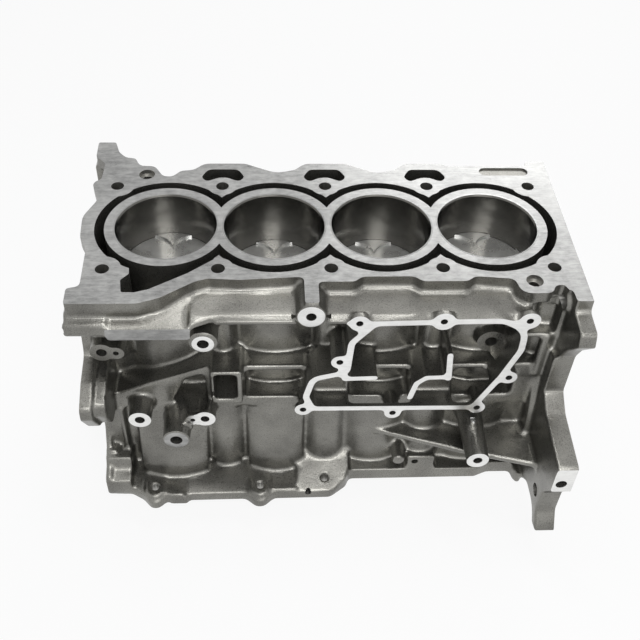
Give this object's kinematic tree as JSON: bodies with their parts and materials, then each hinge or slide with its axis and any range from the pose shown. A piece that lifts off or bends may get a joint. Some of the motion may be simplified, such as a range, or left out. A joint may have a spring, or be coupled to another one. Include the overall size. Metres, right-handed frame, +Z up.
{
  "type": "engine short block",
  "caption": "Open-deck aluminium in-line engine block with iron liners, crankshaft, rods and pistons fitted, ready for its head, sump and timing case.",
  "frame": {"origin": "on the head joint face, on the bore line, midway between the bores", "axes": "+X along the crankshaft to the transmission end, +Y to the drain side, +Z up out of the head joint face"},
  "size_m": [0.4535, 0.3344, 0.2775],
  "materials": {
    "bearing_metal": "satin",
    "bolt_steel": "black oxide",
    "cap_iron": "machined",
    "cast_aluminium": "sand-grained casting with milled faces",
    "crank_iron": "forged, ground journals",
    "liner_iron": "cross-honed",
    "piston_aluminium": "turned",
    "ring_steel": "ground",
    "rod_steel": "forged",
    "seal_rubber": "matt"
  },
  "bodies": {
    "block": {"cylinder_block": "cast_aluminium", "main_cap_bolts": "bolt_steel", "main_shells_upper": "bearing_metal", "main_shells_lower": "bearing_metal", "rear_oil_seal": "seal_rubber", "main_bearing_cap_1": "cap_iron", "main_bearing_cap_2": "cap_iron", "main_bearing_cap_3": "cap_iron", "main_bearing_cap_4": "cap_iron", "main_bearing_cap_5": "cap_iron", "cylinder_liner_1": "liner_iron", "cylinder_liner_2": "liner_iron", "cylinder_liner_3": "liner_iron", "cylinder_liner_4": "liner_iron"},
    "crank": {"crankshaft": "crank_iron"},
    "piston_1": {"piston_1": "piston_aluminium", "piston_rings_1": "ring_steel", "wrist_pin_1": "ring_steel", "circlips_1": "ring_steel"},
    "rod_1": {"connecting_rod_1": "rod_steel", "rod_cap_1": "rod_steel", "rod_bolts_1": "bolt_steel", "rod_shells_1": "bearing_metal"},
    "piston_2": {"piston_2": "piston_aluminium", "piston_rings_2": "ring_steel", "wrist_pin_2": "ring_steel", "circlips_2": "ring_steel"},
    "rod_2": {"connecting_rod_2": "rod_steel", "rod_cap_2": "rod_steel", "rod_bolts_2": "bolt_steel", "rod_shells_2": "bearing_metal"},
    "piston_3": {"piston_3": "piston_aluminium", "piston_rings_3": "ring_steel", "wrist_pin_3": "ring_steel", "circlips_3": "ring_steel"},
    "rod_3": {"connecting_rod_3": "rod_steel", "rod_cap_3": "rod_steel", "rod_bolts_3": "bolt_steel", "rod_shells_3": "bearing_metal"},
    "piston_4": {"piston_4": "piston_aluminium", "piston_rings_4": "ring_steel", "wrist_pin_4": "ring_steel", "circlips_4": "ring_steel"},
    "rod_4": {"connecting_rod_4": "rod_steel", "rod_cap_4": "rod_steel", "rod_bolts_4": "bolt_steel", "rod_shells_4": "bearing_metal"}
  },
  "joints": [
    {"name": "crank_turn", "type": "hinge", "parent": "block", "child": "crank", "pos_m": [0, 0, -0.212], "axis": [-1, 0, 0], "range_deg": [-12, 12]},
    {"name": "rod_swing_1", "type": "hinge", "parent": "crank", "child": "rod_1", "pos_m": [-0.141, 0.04177, -0.20761], "axis": [-1, 0, 0], "range_deg": [-13, 13]},
    {"name": "piston_slide_1", "type": "slide", "parent": "block", "child": "piston_1", "axis": [0, 0, 1], "range_m": [-0.0095, 0.0095]},
    {"name": "rod_swing_2", "type": "hinge", "parent": "crank", "child": "rod_2", "pos_m": [-0.047, -0.04177, -0.21639], "axis": [-1, 0, 0], "range_deg": [-13, 13]},
    {"name": "piston_slide_2", "type": "slide", "parent": "block", "child": "piston_2", "axis": [0, 0, 1], "range_m": [-0.0095, 0.0095]},
    {"name": "rod_swing_3", "type": "hinge", "parent": "crank", "child": "rod_3", "pos_m": [0.047, -0.04177, -0.21639], "axis": [-1, 0, 0], "range_deg": [-13, 13]},
    {"name": "piston_slide_3", "type": "slide", "parent": "block", "child": "piston_3", "axis": [0, 0, 1], "range_m": [-0.0095, 0.0095]},
    {"name": "rod_swing_4", "type": "hinge", "parent": "crank", "child": "rod_4", "pos_m": [0.141, 0.04177, -0.20761], "axis": [-1, 0, 0], "range_deg": [-13, 13]},
    {"name": "piston_slide_4", "type": "slide", "parent": "block", "child": "piston_4", "axis": [0, 0, 1], "range_m": [-0.0095, 0.0095]}
  ],
  "couplings": [
    {"joint": "rod_swing_1", "follows": "crank_turn", "ratio": -1.0329},
    {"joint": "piston_slide_1", "follows": "crank_turn", "m_per_rad": -0.043142},
    {"joint": "rod_swing_2", "follows": "crank_turn", "ratio": -0.96715},
    {"joint": "piston_slide_2", "follows": "crank_turn", "m_per_rad": 0.040398},
    {"joint": "rod_swing_3", "follows": "crank_turn", "ratio": -0.96715},
    {"joint": "piston_slide_3", "follows": "crank_turn", "m_per_rad": 0.040398},
    {"joint": "rod_swing_4", "follows": "crank_turn", "ratio": -1.0329},
    {"joint": "piston_slide_4", "follows": "crank_turn", "m_per_rad": -0.043142}
  ]
}
